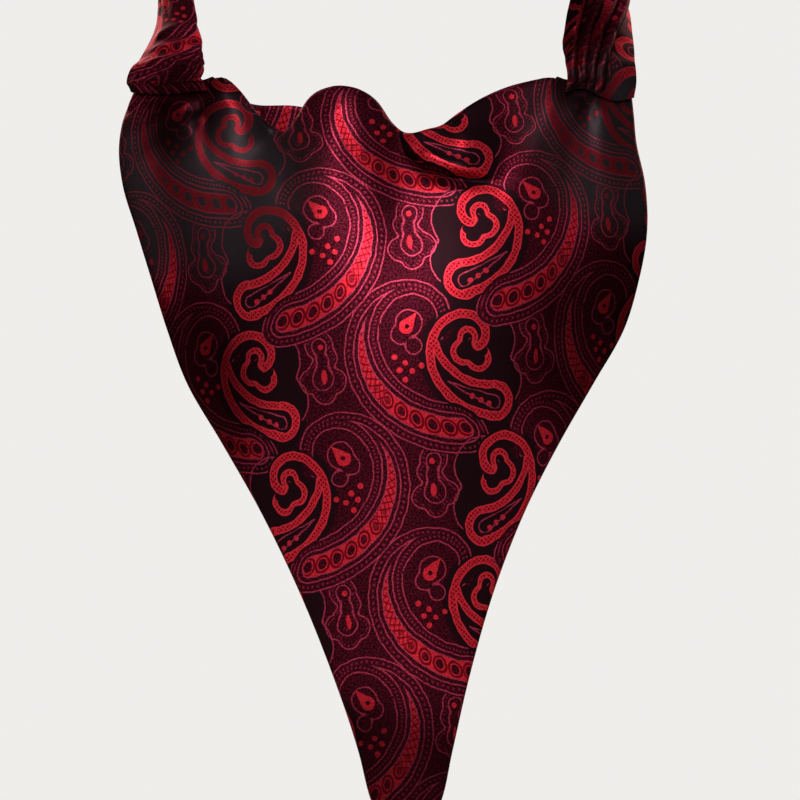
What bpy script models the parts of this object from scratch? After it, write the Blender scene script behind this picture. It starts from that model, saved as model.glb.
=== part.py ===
"""A silk day cravat (ascot), tied and worn: two wide blades on a pleated neckband.

+Z is up and the front faces -Y. The origin is the middle of the neck, at the height where the
neckband leaves the sides of the neck. Every size below is in millimetres, and MM turns it to metres.
"""

import math
from collections import namedtuple

import bpy
import numpy as np

MM = 0.001
WALL = 1.6          # two layers of silk with an interlining between them
SEAM = 0.3          # clearance between two pieces that are sewn or pressed together
STEP = WALL + SEAM  # from the middle of one wall to the middle of the next

# --- the front blade -------------------------------------------------------------------------

# A section for each height, at the blade's sides. left and right are its outer faces, front is
# the depth of its middle, side is how much further back its sides lie, edge is the radius that
# each side rolls back with, and turn is the width turned back behind it.
Section = namedtuple("Section", "level left right front side edge turn")
SECTIONS = (
    Section(-27, -87.2, 85.4, -65.5, 35.0, 2.8, 6),
    Section(-36, -90.6, 86.2, -71.5, 36.5, 3.8, 9),
    Section(-45, -92.1, 86.9, -76.5, 38.0, 4.6, 12),
    Section(-60, -90.9, 89.8, -84.5, 40.0, 5.0, 15),
    Section(-78, -85.6, 90.3, -90.5, 40.0, 5.0, 18),
    Section(-95, -80.4, 87.3, -93.5, 38.5, 5.0, 20),
    Section(-112, -75.0, 82.0, -94.5, 36.0, 5.0, 22),
    Section(-130, -68.2, 71.7, -94.0, 31.5, 5.0, 23),
    Section(-150, -56.4, 60.1, -92.0, 25.0, 5.0, 23),
    Section(-172, -43.7, 48.8, -89.0, 17.5, 4.8, 20),
    Section(-198, -30.9, 38.4, -85.5, 11.0, 4.4, 16),
    Section(-228, -18.7, 29.6, -81.5, 6.0, 3.8, 11),
    Section(-256, -9.3, 23.2, -78.5, 3.4, 3.2, 6.5),
    Section(-272, -5.2, 19.6, -77.0, 2.4, 2.6, 4.0),
    Section(-281, -1.6, 15.8, -76.2, 1.6, 2.0, 2.2),
    Section(-289, 3.6, 10.6, -75.6, 0.8, 1.4, 0.6),
)
TOP = SECTIONS[0].level
TIP = SECTIONS[-1].level
POINT_TOP = -272.0     # where the blade begins to close to its point
POINT_DROP = 4.5       # the middle of the last section hangs this much lower, as the point
POINT_LENGTH = 12.0    # over which the sections bend to it

# The crest, where the blade rolls over the tie: the height of its top face, and its radius.
Crest = namedtuple("Crest", "x top roll")
CREST = (
    Crest(-90, -27.6, 3.4),
    Crest(-80, -25.6, 3.4),
    Crest(-70, -24.6, 3.4),
    Crest(-61, -25.2, 3.8),
    Crest(-55, -25.8, 4.6),
    Crest(-50, -28.8, 4.4),
    Crest(-45, -36.4, 3.6),
    Crest(-39, -42.0, 3.0),
    Crest(-34, -43.8, 2.8),
    Crest(-31, -40.4, 3.4),
    Crest(-26, -33.8, 5.2),
    Crest(-19, -30.2, 6.6),
    Crest(-13, -29.2, 7.0),
    Crest(-8, -31.0, 6.4),
    Crest(-3, -35.6, 5.0),
    Crest(2, -41.6, 3.6),
    Crest(6, -45.0, 3.0),
    Crest(15, -43.4, 4.4),
    Crest(24, -39.3, 5.8),
    Crest(32, -35.1, 6.6),
    Crest(42, -30.5, 6.6),
    Crest(51, -26.8, 5.4),
    Crest(59, -25.4, 4.0),
    Crest(68, -24.6, 3.4),
    Crest(78, -25.4, 3.4),
    Crest(88, -27.6, 3.4),
)
CREST_LEAN = math.radians(35)  # of the front face below the crest, from upright
CREST_FADE = 88.0              # the crest's waves die out over this height
CREST_DROP = 22.0              # the cloth goes down behind the crest as far as this
CREST_ENDS = (54.0, 61.0)      # the roll opens out between these widths, under the neckband
CORNER_RISE = 2.5              # plain cloth above the first section, at the corners

ROW_CROWDING = 1.5             # above 1, the wall's rows lie closer together near the crest
COLUMN_CROWDING = 0.7          # below 1, its columns lie closer together in the middle

# Soft folds in the front, each along a path of (x, z): a ridge or, below 0, a trough.
Fold = namedtuple("Fold", "path first_width last_width height")
FOLDS = (
    Fold(((-56, -30), (-46, -37), (-39, -46)), 5, 8, 3.0),        # the roll left of the notch
    Fold(((-40, -46), (-48, -55), (-62, -64)), 5, 11, -3.2),      # the hollow below it
    Fold(((-71, -92), (-63, -122), (-48, -156)), 9, 12, -4.2),    # the long trough on the left
    Fold(((-13, -34), (-21, -58), (-26, -90)), 9, 20, 4.2),       # the puff below the hump
    Fold(((2, -50), (6, -74), (10, -110)), 7, 16, -3.4),          # the hollow below the dip
    Fold(((65, -33), (50, -56), (36, -92)), 3.4, 10, 3.2),        # gathers fan out on the right
    Fold(((69, -33), (63, -62), (56, -100)), 3.4, 9, -3.2),
    Fold(((74, -33), (76, -64), (71, -104)), 3.4, 9, 3.0),
    Fold(((-71, -33), (-66, -58), (-56, -90)), 3.4, 9, 2.8),      # and on the left
    Fold(((-77, -33), (-78, -60), (-73, -88)), 3.4, 8, -2.6),
    Fold(((52, -122), (36, -160), (24, -204)), 9, 12, -3.0),      # the slack above the point
    Fold(((-34, -150), (-16, -190), (0, -236)), 9, 10, -2.4),
)
# A tuck's path has its raised side on the left as it runs: lip is how high it stands, soft is
# half the width of its face, and reach is how far the raised side takes to sink back.
Tuck = namedtuple("Tuck", "path lip soft reach")
TUCKS = (
    Tuck(((5, -40), (8, -51), (13, -56), (21, -58.5), (40, -60.5)), 9.0, 1.7, 30),
    Tuck(((-47, -34), (-40, -41), (-32, -49)), 5.0, 1.8, 16),
)

# --- behind the front blade ------------------------------------------------------------------

WRAP_HALF = 56.0       # half the width of the stretch across the throat
WRAP_FOOT = -74.0
WRAP_TOPS = ((-56, -31), (-45, -34.2), (-29, -35.2), (-12, -42), (6, -51), (30, -49), (56, -34))

Under = namedtuple("Under", "level half")
UNDER = (
    Under(-76, 50), Under(-95, 54), Under(-115, 54), Under(-135, 48), Under(-160, 39),
    Under(-190, 26), Under(-225, 16), Under(-256, 8.5), Under(-277, 2.4),
)
UNDER_SETTLE = 52.0    # below its top it swings forward to the front blade over this height
UNDER_CLEAR = 1.6      # spare depth behind the turned-back sides, for their folds
UNDER_REST = 5.0       # and behind the middle, where nothing is turned back
UNDER_SWING = 16.0     # it swings back from the one depth to the other over this width

# --- the neckband ----------------------------------------------------------------------------

# From each front end to the centre back: the upper edge, against the neck, and the lower edge.
Stay = namedtuple("Stay", "upper lower")
LEFT_BAND = (
    Stay((-62.6, -40, -17), (-85.0, -25, -19)),
    Stay((-64.9, -30, -6), (-81.0, -11, -10)),
    Stay((-67.2, -18, 6), (-78.6, 5, 0)),
    Stay((-66, 4, 23), (-77, 25, 8)),
    Stay((-54, 30, 43), (-66, 47, 14)),
    Stay((-28, 47, 57), (-36, 62, 18)),
    Stay((-0.15, 52, 62), (-0.15, 67, 19)),
)
RIGHT_BAND = (
    Stay((61.3, -39, -16), (86.0, -25, -18)),
    Stay((62.6, -29, -4), (85.6, -11, -8)),
    Stay((65.0, -17, 7), (84.8, 5, 1)),
    Stay((65.5, 5, 24), (80, 26, 9)),
    Stay((54, 30, 43), (67, 47, 14)),
    Stay((28, 47, 57), (36, 62, 18)),
    Stay((0.15, 52, 62), (0.15, 67, 19)),
)
# The band's front ends lie on the blade's corners, between these widths.
LEFT_LAP = (-60.8, -87.4)
RIGHT_LAP = (61.4, 85.4)
LAP_HEIGHTS = (-30.0, -27.5, -25.0)
LAP_LOOSE = 12.0       # the band swells and lifts off the corner over this length
BAND_CROWN = 2.8       # how far the band swells out between its edges
PLEATS = 4
PLEAT_HEIGHT = 1.9
PLEAT_GROWTH = 30.0    # a band that starts smooth gets its full pleats over this length
SMOOTH_ENDS = (32.0, 0.0)      # how far the left and the right band are smooth from the front
PLEAT_SHARES = (1.0, 0.55)     # the share of the band's width that the pleats take at its front
PLEAT_SPREAD = 60.0    # over this length they spread to the whole width
PLEAT_PRESS = 0.4      # the share of that height left where the pleats are sewn to the blade
PLEAT_DROOP = 1.8      # each pleat's end hangs this much below the valley beside it

SILK = (0.13, 0.006, 0.012, 1.0)
SILK_ROUGHNESS = 0.42


def smooth(xs, ys, at):
    """A smooth curve through the points xs, ys, where xs ascend, level beyond their ends."""
    xs, ys = np.asarray(xs, float), np.asarray(ys, float)
    slopes = np.gradient(ys, xs)
    at = np.clip(at, xs[0], xs[-1])
    i = np.clip(np.searchsorted(xs, at, side="right") - 1, 0, len(xs) - 2)
    gap = xs[i + 1] - xs[i]
    t = (at - xs[i]) / gap
    rise = ys[i + 1] - ys[i]
    bend_in = slopes[i] * gap - rise
    bend_out = rise - slopes[i + 1] * gap
    return ys[i] + rise * t + t * (1 - t) * (bend_in * (1 - t) + bend_out * t)


def column(rows, name, at):
    """One named column of a table, read smoothly at values of its first column."""
    keys = np.array([row[0] for row in rows], float)
    values = np.array([getattr(row, name) for row in rows], float)
    order = np.argsort(keys)
    return smooth(keys[order], values[order], at)


def ease(t):
    """0 below 0, 1 above 1, and smooth between them."""
    t = np.clip(t, 0, 1)
    return t * t * (3 - 2 * t)


def along_path(path, x, z):
    """(distance to the path, above 0 on its left; share of the path's length there)."""
    path = np.array(path, float)
    lengths = np.linalg.norm(np.diff(path, axis=0), axis=1)
    best = np.full(np.shape(x), np.inf)
    signed = np.zeros(np.shape(x))
    share = np.zeros(np.shape(x))
    done = 0.0
    for start, end, length in zip(path[:-1], path[1:], lengths):
        ux, uz = (end - start) / length
        run = np.clip((x - start[0]) * ux + (z - start[1]) * uz, 0, length)
        dx = x - start[0] - ux * run
        dz = z - start[1] - uz * run
        distance = np.hypot(dx, dz)
        nearer = distance < best
        best = np.where(nearer, distance, best)
        signed = np.where(nearer, np.copysign(distance, ux * dz - uz * dx), signed)
        share = np.where(nearer, (done + run) / lengths.sum(), share)
        done += length
    return signed, share


def relief(x, z):
    """How far the folds and tucks lift the front at (x, z), towards the front."""
    lift = np.zeros(np.shape(x))
    for fold in FOLDS:
        distance, share = along_path(fold.path, x, z)
        width = fold.first_width + (fold.last_width - fold.first_width) * share
        swell = 1 - 0.75 * share
        lift += fold.height * swell * np.exp(-((distance / width) ** 2))
    for tuck in TUCKS:
        distance, share = along_path(tuck.path, x, z)
        face = 0.5 + 0.5 * np.tanh(distance / tuck.soft)
        sink = np.exp(-((np.maximum(distance, 0) / tuck.reach) ** 2))
        lift += tuck.lip * face * sink * ease((1.05 - share) / 0.6)
    return lift


def blade_middle(level):
    """(centre x, half width, depth of the middle, how far back the sides are) of a section."""
    left = column(SECTIONS, "left", level) + WALL / 2
    right = column(SECTIONS, "right", level) - WALL / 2
    return (
        (left + right) / 2,
        (right - left) / 2,
        column(SECTIONS, "front", level),
        column(SECTIONS, "side", level),
    )


def blade_depth(x, level):
    """The depth of the blade's front, at the middle of its wall and without its folds."""
    centre, half, front, side = blade_middle(level)
    return front + side * ((x - centre) / half) ** 2


def blade_front(across, level, roll, turn):
    """Points of the blade at or below its first section.

    across runs from -1 to 1 over the front, roll is the angle that a side has rolled back, and
    turn is the share of the turned-back width, where across is then -1 or 1.
    """
    centre, half, front, side = blade_middle(level)
    edge = column(SECTIONS, "edge", level)
    slant = np.arctan2(2 * side, half)
    reach = half - edge * (1 - np.sin(slant))
    place = across * (1 - turn * column(SECTIONS, "turn", level) / reach)
    x = centre + place * reach
    y = front + side * place ** 2
    slope = 2 * side * place / reach
    run = np.hypot(1, slope)
    outward = np.sign(across)
    out = edge * np.sin(roll) * outward
    back = edge * (1 - np.cos(roll))
    wave = column(CREST, "top", x) - crest_rise(x) - TOP
    fade = np.clip(1 - (TOP - level) / CREST_FADE, 0, 1) ** 2
    point = ease((POINT_LENGTH + TIP - level) / POINT_LENGTH) * POINT_DROP
    z = level + wave * fade - point * (1 - np.abs(place))
    shown = np.cos(roll / 2) ** 2 * ease((LAP_HEIGHTS[0] - z) / 8 + crest_share(x))
    y = y - relief(x, z) * shown
    return x + (out - back * slope) / run, y + (out * slope + back) / run, z


def crest_share(x):
    """1 where the crest is fully rolled, and 0 at the corners, where it is open."""
    inner, outer = CREST_ENDS
    return ease((outer - np.abs(x)) / (outer - inner))


def crest_rise(x):
    """From the blade's first section to the top face of the crest."""
    share = crest_share(x)
    rolled = column(CREST, "roll", x) * (1 - math.sin(CREST_LEAN)) + WALL / 2
    return rolled * share + CORNER_RISE * (1 - share)


def blade_crest(across, over):
    """Points above the first section: over is 0 there, 1 at the end of the roll, 2 at the hem."""
    x, y, z = blade_front(across, np.full(np.shape(across), float(TOP)), 0.0, 0.0)
    share = crest_share(x)
    radius = column(CREST, "roll", x) * share
    heading = CREST_LEAN + (math.pi - CREST_LEAN) * share * np.minimum(over, 1)
    hem = CORNER_RISE + (CREST_DROP - CORNER_RISE) * share ** 3
    straight = hem * np.maximum(over - 1, 0) + CORNER_RISE / 2 * (1 - share) * np.minimum(over, 1)
    y = y + radius * (math.cos(CREST_LEAN) - np.cos(heading)) + straight * np.sin(heading)
    z = z + radius * (np.sin(heading) - math.sin(CREST_LEAN)) + straight * np.cos(heading)
    return x, y, z


def back_of_crest(x):
    """The depth of the innermost cloth behind the crest, at the middle of its wall."""
    deepest = max(row.roll for row in CREST)
    return blade_depth(x, TOP) + deepest * (1 + math.cos(CREST_LEAN))


def under_depth(x, level):
    """The depth of the lower blade behind the front one, at the middle of its wall."""
    centre, half, _, side = blade_middle(level)
    edge = column(SECTIONS, "edge", level)
    slant = np.arctan2(2 * side, half)
    hem = half - column(SECTIONS, "turn", level) - 2 * edge
    aside = ease((np.abs(x - centre) - hem) / UNDER_SWING + 1)
    middle = STEP + UNDER_REST
    sides = (2 * edge + STEP) / np.cos(slant) + UNDER_CLEAR
    settled = ease((WRAP_FOOT - SEAM - level) / UNDER_SETTLE)
    near = blade_depth(x, level) + middle + np.maximum(sides - middle, 0) * aside
    return near * settled + (back_of_crest(x) + STEP) * (1 - settled)


def collection_named(name):
    collection = bpy.data.collections.new(name)
    bpy.context.scene.collection.children.link(collection)
    return collection


def silk(name):
    material = bpy.data.materials.new(name)
    material.use_nodes = True
    shader = material.node_tree.nodes["Principled BSDF"]
    shader.inputs["Base Color"].default_value = SILK
    shader.inputs["Roughness"].default_value = SILK_ROUGHNESS
    shader.inputs["Metallic"].default_value = 0.0
    return material


def sheet(name, columns, rows, place, collection, flip=False):
    """A cloth wall. place turns column and row numbers into the middle of the wall."""
    bpy.ops.mesh.primitive_grid_add(x_subdivisions=columns, y_subdivisions=rows, size=2)
    cloth = bpy.context.object
    cloth.name = name
    mesh = cloth.data
    mesh.name = name
    grid = np.empty(len(mesh.vertices) * 3)
    mesh.vertices.foreach_get("co", grid)
    grid = grid.reshape(-1, 3)
    i = np.rint((grid[:, 0] + 1) / 2 * columns).astype(int)
    j = np.rint((grid[:, 1] + 1) / 2 * rows).astype(int)
    points = np.stack(place(i, j), axis=1) * MM
    mesh.vertices.foreach_set("co", points.ravel())
    if flip:
        mesh.flip_normals()
    mesh.shade_smooth()
    mesh.update()
    wall = cloth.modifiers.new("Wall", "SOLIDIFY")
    wall.thickness = WALL * MM
    wall.offset = 0
    wall.use_even_offset = True
    wall.use_quality_normals = True
    mesh.materials.append(silk(name))
    for other in list(cloth.users_collection):
        other.objects.unlink(cloth)
    collection.objects.link(cloth)
    return cloth


def front_blade(collection):
    """The upper blade: over the crest, down the front to its point, with its sides rolled back."""
    turn_steps, roll_steps, front_steps = 3, 5, 36
    crest_steps, hem_steps, down_steps, point_steps = 6, 2, 26, 4
    turned = np.linspace(1, 0, turn_steps + 1)[:-1]
    rolled = np.linspace(math.pi, 0, roll_steps + 1)[:-1]
    even = np.linspace(-1, 1, front_steps + 1)
    ahead = even * (COLUMN_CROWDING + (1 - COLUMN_CROWDING) * even ** 2)
    side = turn_steps + roll_steps
    across = np.concatenate([np.full(side, -1.0), ahead, np.full(side, 1.0)])
    turn = np.concatenate([turned, np.zeros(roll_steps + len(ahead) + roll_steps), turned[::-1]])
    half_roll = np.concatenate([np.full(turn_steps, math.pi), rolled])
    roll = np.concatenate([half_roll, np.zeros(len(ahead)), half_roll[::-1]])
    down = TOP + (POINT_TOP - TOP) * np.linspace(0, 1, down_steps + 1) ** ROW_CROWDING
    levels = np.concatenate([down, np.linspace(POINT_TOP, TIP, point_steps + 1)[1:]])
    above = crest_steps + hem_steps
    over = np.concatenate(
        [np.linspace(2, 1, hem_steps + 1)[:-1], np.linspace(1, 0, crest_steps + 1)[:-1]]
    )

    def place(i, j):
        level = levels[np.maximum(j - above, 0)]
        x, y, z = blade_front(across[i], level, roll[i], turn[i])
        top_x, top_y, top_z = blade_crest(across[i], over[np.minimum(j, above - 1)])
        start_x, start_y, start_z = blade_front(across[i], np.full(len(i), float(TOP)), 0.0, 0.0)
        crest = j < above
        return (
            np.where(crest, x + top_x - start_x, x),
            np.where(crest, y + top_y - start_y, y),
            np.where(crest, z + top_z - start_z, z),
        )

    rows = above + down_steps + point_steps
    return sheet("front_blade", len(across) - 1, rows, place, collection)


def throat_wrap(collection):
    """The stretch of the lower blade that crosses the throat, just inside the crest."""
    columns, rows = 20, 6
    tops = np.array(WRAP_TOPS, float)

    def place(i, j):
        x = WRAP_HALF * (2 * i / columns - 1)
        top = smooth(tops[:, 0], tops[:, 1], x)
        z = top + (WRAP_FOOT - top) * j / rows
        return x, back_of_crest(x) + STEP, z

    return sheet("throat_wrap", columns, rows, place, collection)


def under_blade(collection):
    """The lower blade's end, which hangs behind the front blade's turned-back sides."""
    columns, rows = 16, 22
    head = WRAP_FOOT - SEAM
    foot = UNDER[-1].level

    def place(i, j):
        level = head + (foot - head) * j / rows
        x = blade_middle(level)[0] + column(UNDER, "half", level) * (2 * i / columns - 1)
        return x, under_depth(x, level), level

    return sheet("under_blade", columns, rows, place, collection)


def pleat_crown(share, s, side):
    """How far up its pleat a point of the band is, for side 0 (left) or 1 (right)."""
    narrow = PLEAT_SHARES[side] + (1 - PLEAT_SHARES[side]) * ease(s / PLEAT_SPREAD)
    grown = 1.0 if SMOOTH_ENDS[side] == 0 else ease((s - SMOOTH_ENDS[side]) / PLEAT_GROWTH)
    return grown * (0.5 - 0.5 * np.cos(2 * math.pi * PLEATS * np.minimum(share / narrow, 1)))


def neckband(name, lap, stays, collection):
    """Half of the pleated band, from its end on the blade's corner to the centre back."""
    columns, rows = 6 * PLEATS, 20
    inner, outer = lap
    outward = math.copysign(1, inner)
    laps = len(LAP_HEIGHTS)
    upper = np.array([(inner, blade_depth(inner, z), z) for z in LAP_HEIGHTS]
                     + [stay.upper for stay in stays], float)
    lower = np.array([(outer, blade_depth(outer, z), z) for z in LAP_HEIGHTS]
                     + [stay.lower for stay in stays], float)
    middle = (upper + lower) / 2
    along = np.concatenate([[0], np.cumsum(np.linalg.norm(np.diff(middle, axis=0), axis=1))])

    def edge(points, s):
        return np.stack([smooth(along, points[:, k], s) for k in range(3)], axis=-1)

    def place(i, j):
        share = i / columns
        s = along[-1] * j / rows
        high, low = edge(upper, s), edge(lower, s)
        ahead = edge(middle, np.minimum(s + 1, along[-1])) - edge(middle, np.maximum(s - 1, 0))
        normal = np.cross(low - high, ahead) * outward
        normal /= np.linalg.norm(normal, axis=1)[:, None]
        loose = ease((s - along[laps - 1]) / LAP_LOOSE)
        point = high + (low - high) * share[:, None]
        swell = BAND_CROWN * np.sin(math.pi * share) * loose
        crown = pleat_crown(share, s, int(outward > 0))
        pressed = PLEAT_PRESS + (1 - PLEAT_PRESS) * loose
        point[:, 2] -= PLEAT_DROOP * crown * (1 - ease(s / along[laps - 1]))
        seat_y = blade_depth(point[:, 0], point[:, 2])
        point[:, 1] += (seat_y - point[:, 1]) * (1 - loose)
        lift = STEP * (1 - loose) + swell + PLEAT_HEIGHT * crown * pressed
        return tuple((point + normal * lift[:, None]).T)

    return sheet(name, columns, rows, place, collection, flip=outward > 0)


def main():
    for leftover in list(bpy.data.objects):
        bpy.data.objects.remove(leftover, do_unlink=True)
    cravat = collection_named("silk_cravat")
    front_blade(cravat)
    throat_wrap(cravat)
    under_blade(cravat)
    neckband("neckband_left", LEFT_LAP, LEFT_BAND, cravat)
    neckband("neckband_right", RIGHT_LAP, RIGHT_BAND, cravat)


main()
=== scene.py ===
"""Dresses a silk day cravat in paisley silk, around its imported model.

The sheets of cloth are made from the same sections as the model's walls, only finer, in
millimetres; MM turns them to metres. +Z is up and the front faces -Y.
"""

import math
from collections import namedtuple
from functools import partial, reduce

import bpy
import numpy as np
from bpy.props import FloatProperty, FloatVectorProperty, PointerProperty
from bpy.types import Operator, Panel, PropertyGroup
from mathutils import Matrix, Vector


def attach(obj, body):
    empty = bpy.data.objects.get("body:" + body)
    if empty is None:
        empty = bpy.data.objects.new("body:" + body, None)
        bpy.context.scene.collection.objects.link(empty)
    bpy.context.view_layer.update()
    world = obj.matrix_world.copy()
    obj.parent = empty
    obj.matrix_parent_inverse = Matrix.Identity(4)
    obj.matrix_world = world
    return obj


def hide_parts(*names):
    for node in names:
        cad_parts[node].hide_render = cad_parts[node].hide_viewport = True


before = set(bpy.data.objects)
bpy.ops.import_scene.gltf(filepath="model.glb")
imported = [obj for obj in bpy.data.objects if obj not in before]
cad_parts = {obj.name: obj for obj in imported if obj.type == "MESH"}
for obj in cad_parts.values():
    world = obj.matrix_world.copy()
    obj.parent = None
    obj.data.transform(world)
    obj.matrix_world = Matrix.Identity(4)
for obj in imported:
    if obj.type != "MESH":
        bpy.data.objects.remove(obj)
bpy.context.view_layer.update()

bl_info = {
    "name": "Silk cravat",
    "version": (1, 0, 0),
    "blender": (4, 5, 0),
    "location": "View3D > Sidebar > Silk cravat",
    "description": "Makes the paisley silk sheets of a worn day cravat, and their stage",
    "category": "Object",
}

# --- the stage, in metres ---

CAMERA_PLACE = (0.0051, -2.575, -0.136)
CAMERA_LENS = 330.9
LIGHTS_AIM = (0, -0.07, -0.12)
# Each softbox: its name, place, width and height, and its power in watts.
SOFTBOXES = (
    ("softbox_key", (-0.15, -1.25, 1.75), (0.9, 0.7), 24),
    ("softbox_front", (0.0, -1.95, 0.70), (0.65, 0.60), 33),
    ("softbox_low", (0.10, -1.50, -1.10), (0.8, 0.6), 4),
    ("softbox_left", (-1.45, -0.60, 0.50), (0.7, 0.9), 1.6),
    ("softbox_right", (1.45, -0.55, 0.45), (0.7, 0.9), 1.0),
    ("softbox_back_left", (-0.70, 1.75, 0.60), (0.9, 0.9), 11),
    ("softbox_back_right", (0.80, 1.70, 0.55), (0.9, 0.9), 10),
)
# Patches of painted sheen, where the ground is painted grey and the print dimmer, and of
# painted shade, where the cloth is painted darker: the middle of each place and its reach.
PAINTED_SHEEN_PATCHES = (
    ((-0.056, -0.07, -0.063), 0.042), ((-0.082, -0.04, -0.068), 0.036),
    ((0.078, -0.05, -0.048), 0.042),
)
# Painted shade: under the left band's end, on both flanks, by the right band and above the point.
PAINTED_SHADE_PATCHES = (
    ((-0.070, -0.05, -0.036), 0.024), ((-0.072, -0.055, -0.135), 0.050),
    ((0.074, -0.055, -0.116), 0.050), ((0.064, -0.035, 0.0), 0.026),
    ((0.069, -0.050, -0.024), 0.018), ((0.0, -0.08, -0.275), 0.050),
)

# --- the print, in millimetres on the flat cloth ---

REPEAT_ACROSS, REPEAT_DOWN = 75.0, 84.3
MOTIF_SIZE = 1.13
FILLER_FOOT = -68.4  # the lowest point of a motif, from its curl
LEFT_START, RIGHT_START = (12.4, 0.8), (47.4, 42.7)
# Where the repeat begins on each sheet, and where the band's front outer corner lies on it.
PATTERN_START, WRAP_PATTERN_START, UNDER_PATTERN_START = (-39.0, 50.8), (12.0, 30.0), (-20.0, 14.0)
BAND_PATTERN_STARTS = ((-59.0, 37.3), (-39.0, 50.8))
BAND_OUTER_PLACE, BAND_START_PLACE = 94.0, 3.0
# The width of a line, half the width of a dash and of a ring, and the radius of a dot.
LINE, SPECK, RING, DOT = 0.40, 0.3, 0.35, 0.85
SOFT_EDGE = 0.09  # half the width over which one colour goes over into the next
DRIFT, DRIFT_SCALE = 0.9, 0.2  # how far the lines stray, as drawn by hand, and how often
HATCH = 3.6  # radians of the ribbon's cross-hatching in a millimetre
FAR, ABRUPT = 50.0, 20  # a distance outside every shape, and the steepness of a sudden end
# A spiral's radii are the factors of a polynomial in t, which goes from 0 to 1 over SWEEP. Its
# slope makes up for how steeply it runs outwards, its split is where its first turn gives way
# to its second, and its ends are the middle of its run and how far it goes on both ways.
SWEEP = 1.5 * math.pi
# The boteh is the curled teardrop. Half its width is thin at first, grows by swell between one
# pair of values of t, and tapers to its tail between the other.
BOTEH, BOTEH_SLOPE, BOTEH_SPLIT, BOTEH_ENDS = (7.2, 3.0, 9.0, 12.0), 0.93, 12.4, (0.40, 0.66)
BOTEH_THIN, BOTEH_SWELL, BOTEH_SWELLS, BOTEH_TAIL = 1.9, 5.4, (0.3, 1.08), (-0.40, -0.12)
BORDER, HEART = 2.7, 4.2  # from the boteh's edge in to its lines
SPECK_STEP, BEAD_STEP, BEAD_SHARE, BEAD_LEAST = 1.5, 5.2, 0.66, 0.3
BEAD_RIM = 0.75  # from a bead's edge in to its dark middle
LATTICE_STEP, LATTICE_LINE = 2.3, 0.26
# The values of t where its lattice ends at its head, and its rings and dark middles begin.
LATTICE_TO, RINGS_FROM, MIDDLES_FROM = 0.895, 0.885, 0.86
# The ribbon's hook, and the centre, radius and half width of its fork and of the fork's curl.
HOOK, HOOK_CENTRE, HOOK_SIZE = (4.6, 5.5, 0.0, 12.0), (14.9, -6.6, 0), 1.01
HOOK_SLOPE, HOOK_SPLIT, HOOK_ENDS = 0.95, 8.5, (0.395, 0.665)
HOOK_CLEARING = 8.6  # no line of the boteh comes this near the hook's middle
FORK, FORK_CURL = ((6.1, 3.1), 17.6, 1.2), ((6.1, -19.3), 4.8, 1.3)
RIBBON_HALF, TREFOIL_HALF = 1.3, 0.95
# The ribbon and the leaf stop this far from the boteh, but up to this t the ribbon crosses it.
RIBBON_GAP, LEAF_GAP, RIBBON_OVER = 0.3, 0.4, 0.7
# The curl shows beyond one x or below one y, and the pocket's outline beyond one or above one.
CURL_FROM, POCKET_FROM = (6.05, -21.6), (22.5, -0.5)
# Each drop's ends with the radius at each, and the disc that is bitten out of a figure.
LEAF, COMMA = ((-8.0, -12.5), (5.9, -19.7), (0.0, 1.9)), ((-1.0, 2.2), (-4.3, -1.6), (0.2, 2.2))
TREFOIL_BITE, COMMA_BITE = (3.5, -4.4, 1.5), (-4.2, -1.5, 0.7)
# Where the small dots stand, and each disc of the other figures, with its radius.
DOTS = (
    (13.9, -24.2), (16.5, -25.6), (18.9, -26.8), (-8.6, -10.4), (-5.6, -12.4), (-7.5, -14.3),
    (-3.8, -15.0), (-5.9, -17.3), (-0.8, -13.6), (-0.4, -42.4),
)
TREFOIL = ((-0.9, 0.3, 2.2), (-2.6, -4.0, 3.0), (2.0, -6.4, 3.0))
POCKET = ((20.0, -8.0, 9.0), (22.5, -20.5, 8.0))
BUD = ((-3.4, -0.6, 4.0), (-6.2, -3.8, 2.8), (-2.6, -7.6, 2.4))
FILLER = (
    (0.2, -41.6, 4.2), (-1.6, -45.8, 3.6), (0.0, -49.8, 3.8), (-3.8, -53.0, 3.6),
    (3.4, -52.4, 3.6), (-0.4, -56.0, 3.4),
)
FILLER_CORE = ((0.1, -42.0, 2.2), (-0.8, -46.6, 1.4), (-0.3, -52.0, 3.2))
FILLER_CLEAR = 0.9  # from the boteh's edge out to the filler's lines
# From one of its dashes to the next, how far in from its edge they lie, and half their width.
FILLER_SPECK_STEP, FILLER_SPECK_PLACE, FILLER_SPECK = 1.6, 0.95, 0.24
SEED, SEED_SHARE = (-0.8, -51.2), 0.4  # a dot drawn out in the filler's core
# How softly the discs of each figure run together, and those of the shape inside it.
TREFOIL_NECKS, FILLER_NECKS, POCKET_NECK, BUD_NECK = (1.0, 6.0), (1.8, 6.0), 3.0, 1.8
# Each pair is where a share is none and where it is all, first by the distance from the ribbon's
# edge: the lines beside it, the plain ground round it, the hatching in it, and its own rim.
LINES_FROM, PLAIN_FROM, HATCH_FROM = (0.7, 0.9), (2.4, 1.6), (-0.25, -0.45)
RIM_PLACE, RIM_WIDTH = 0.2, (0.3, 0.1)
POCKET_PLAIN, HATCH_DARK = (0.3, -0.2), (0.12, 0.40)
# Light threads in the ground, the red and the lines, and how the ground's threads are made up.
FLECKS, RED_THREADS, LINE_THREADS = (0.95, 1.85), (0.35, 0.7), (0.38, 0.55)
FLECK_GRAIN, FLECK_WEAVE = 2.6, 0.55
# The most that the plain ground, the painted grey sheen and the painted shade cover, and the
# painted sheen that veils the whole print.
PLAIN_COVER, PAINTED_SHEEN_COVER, PAINTED_SHADE_COVER, PAINTED_SHEEN_VEIL = 0.6, 0.9, 0.75, 0.35
PATCH_CORE = 0.5  # the share of its reach over which a patch is full

# --- how finely each sheet is divided ---

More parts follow.
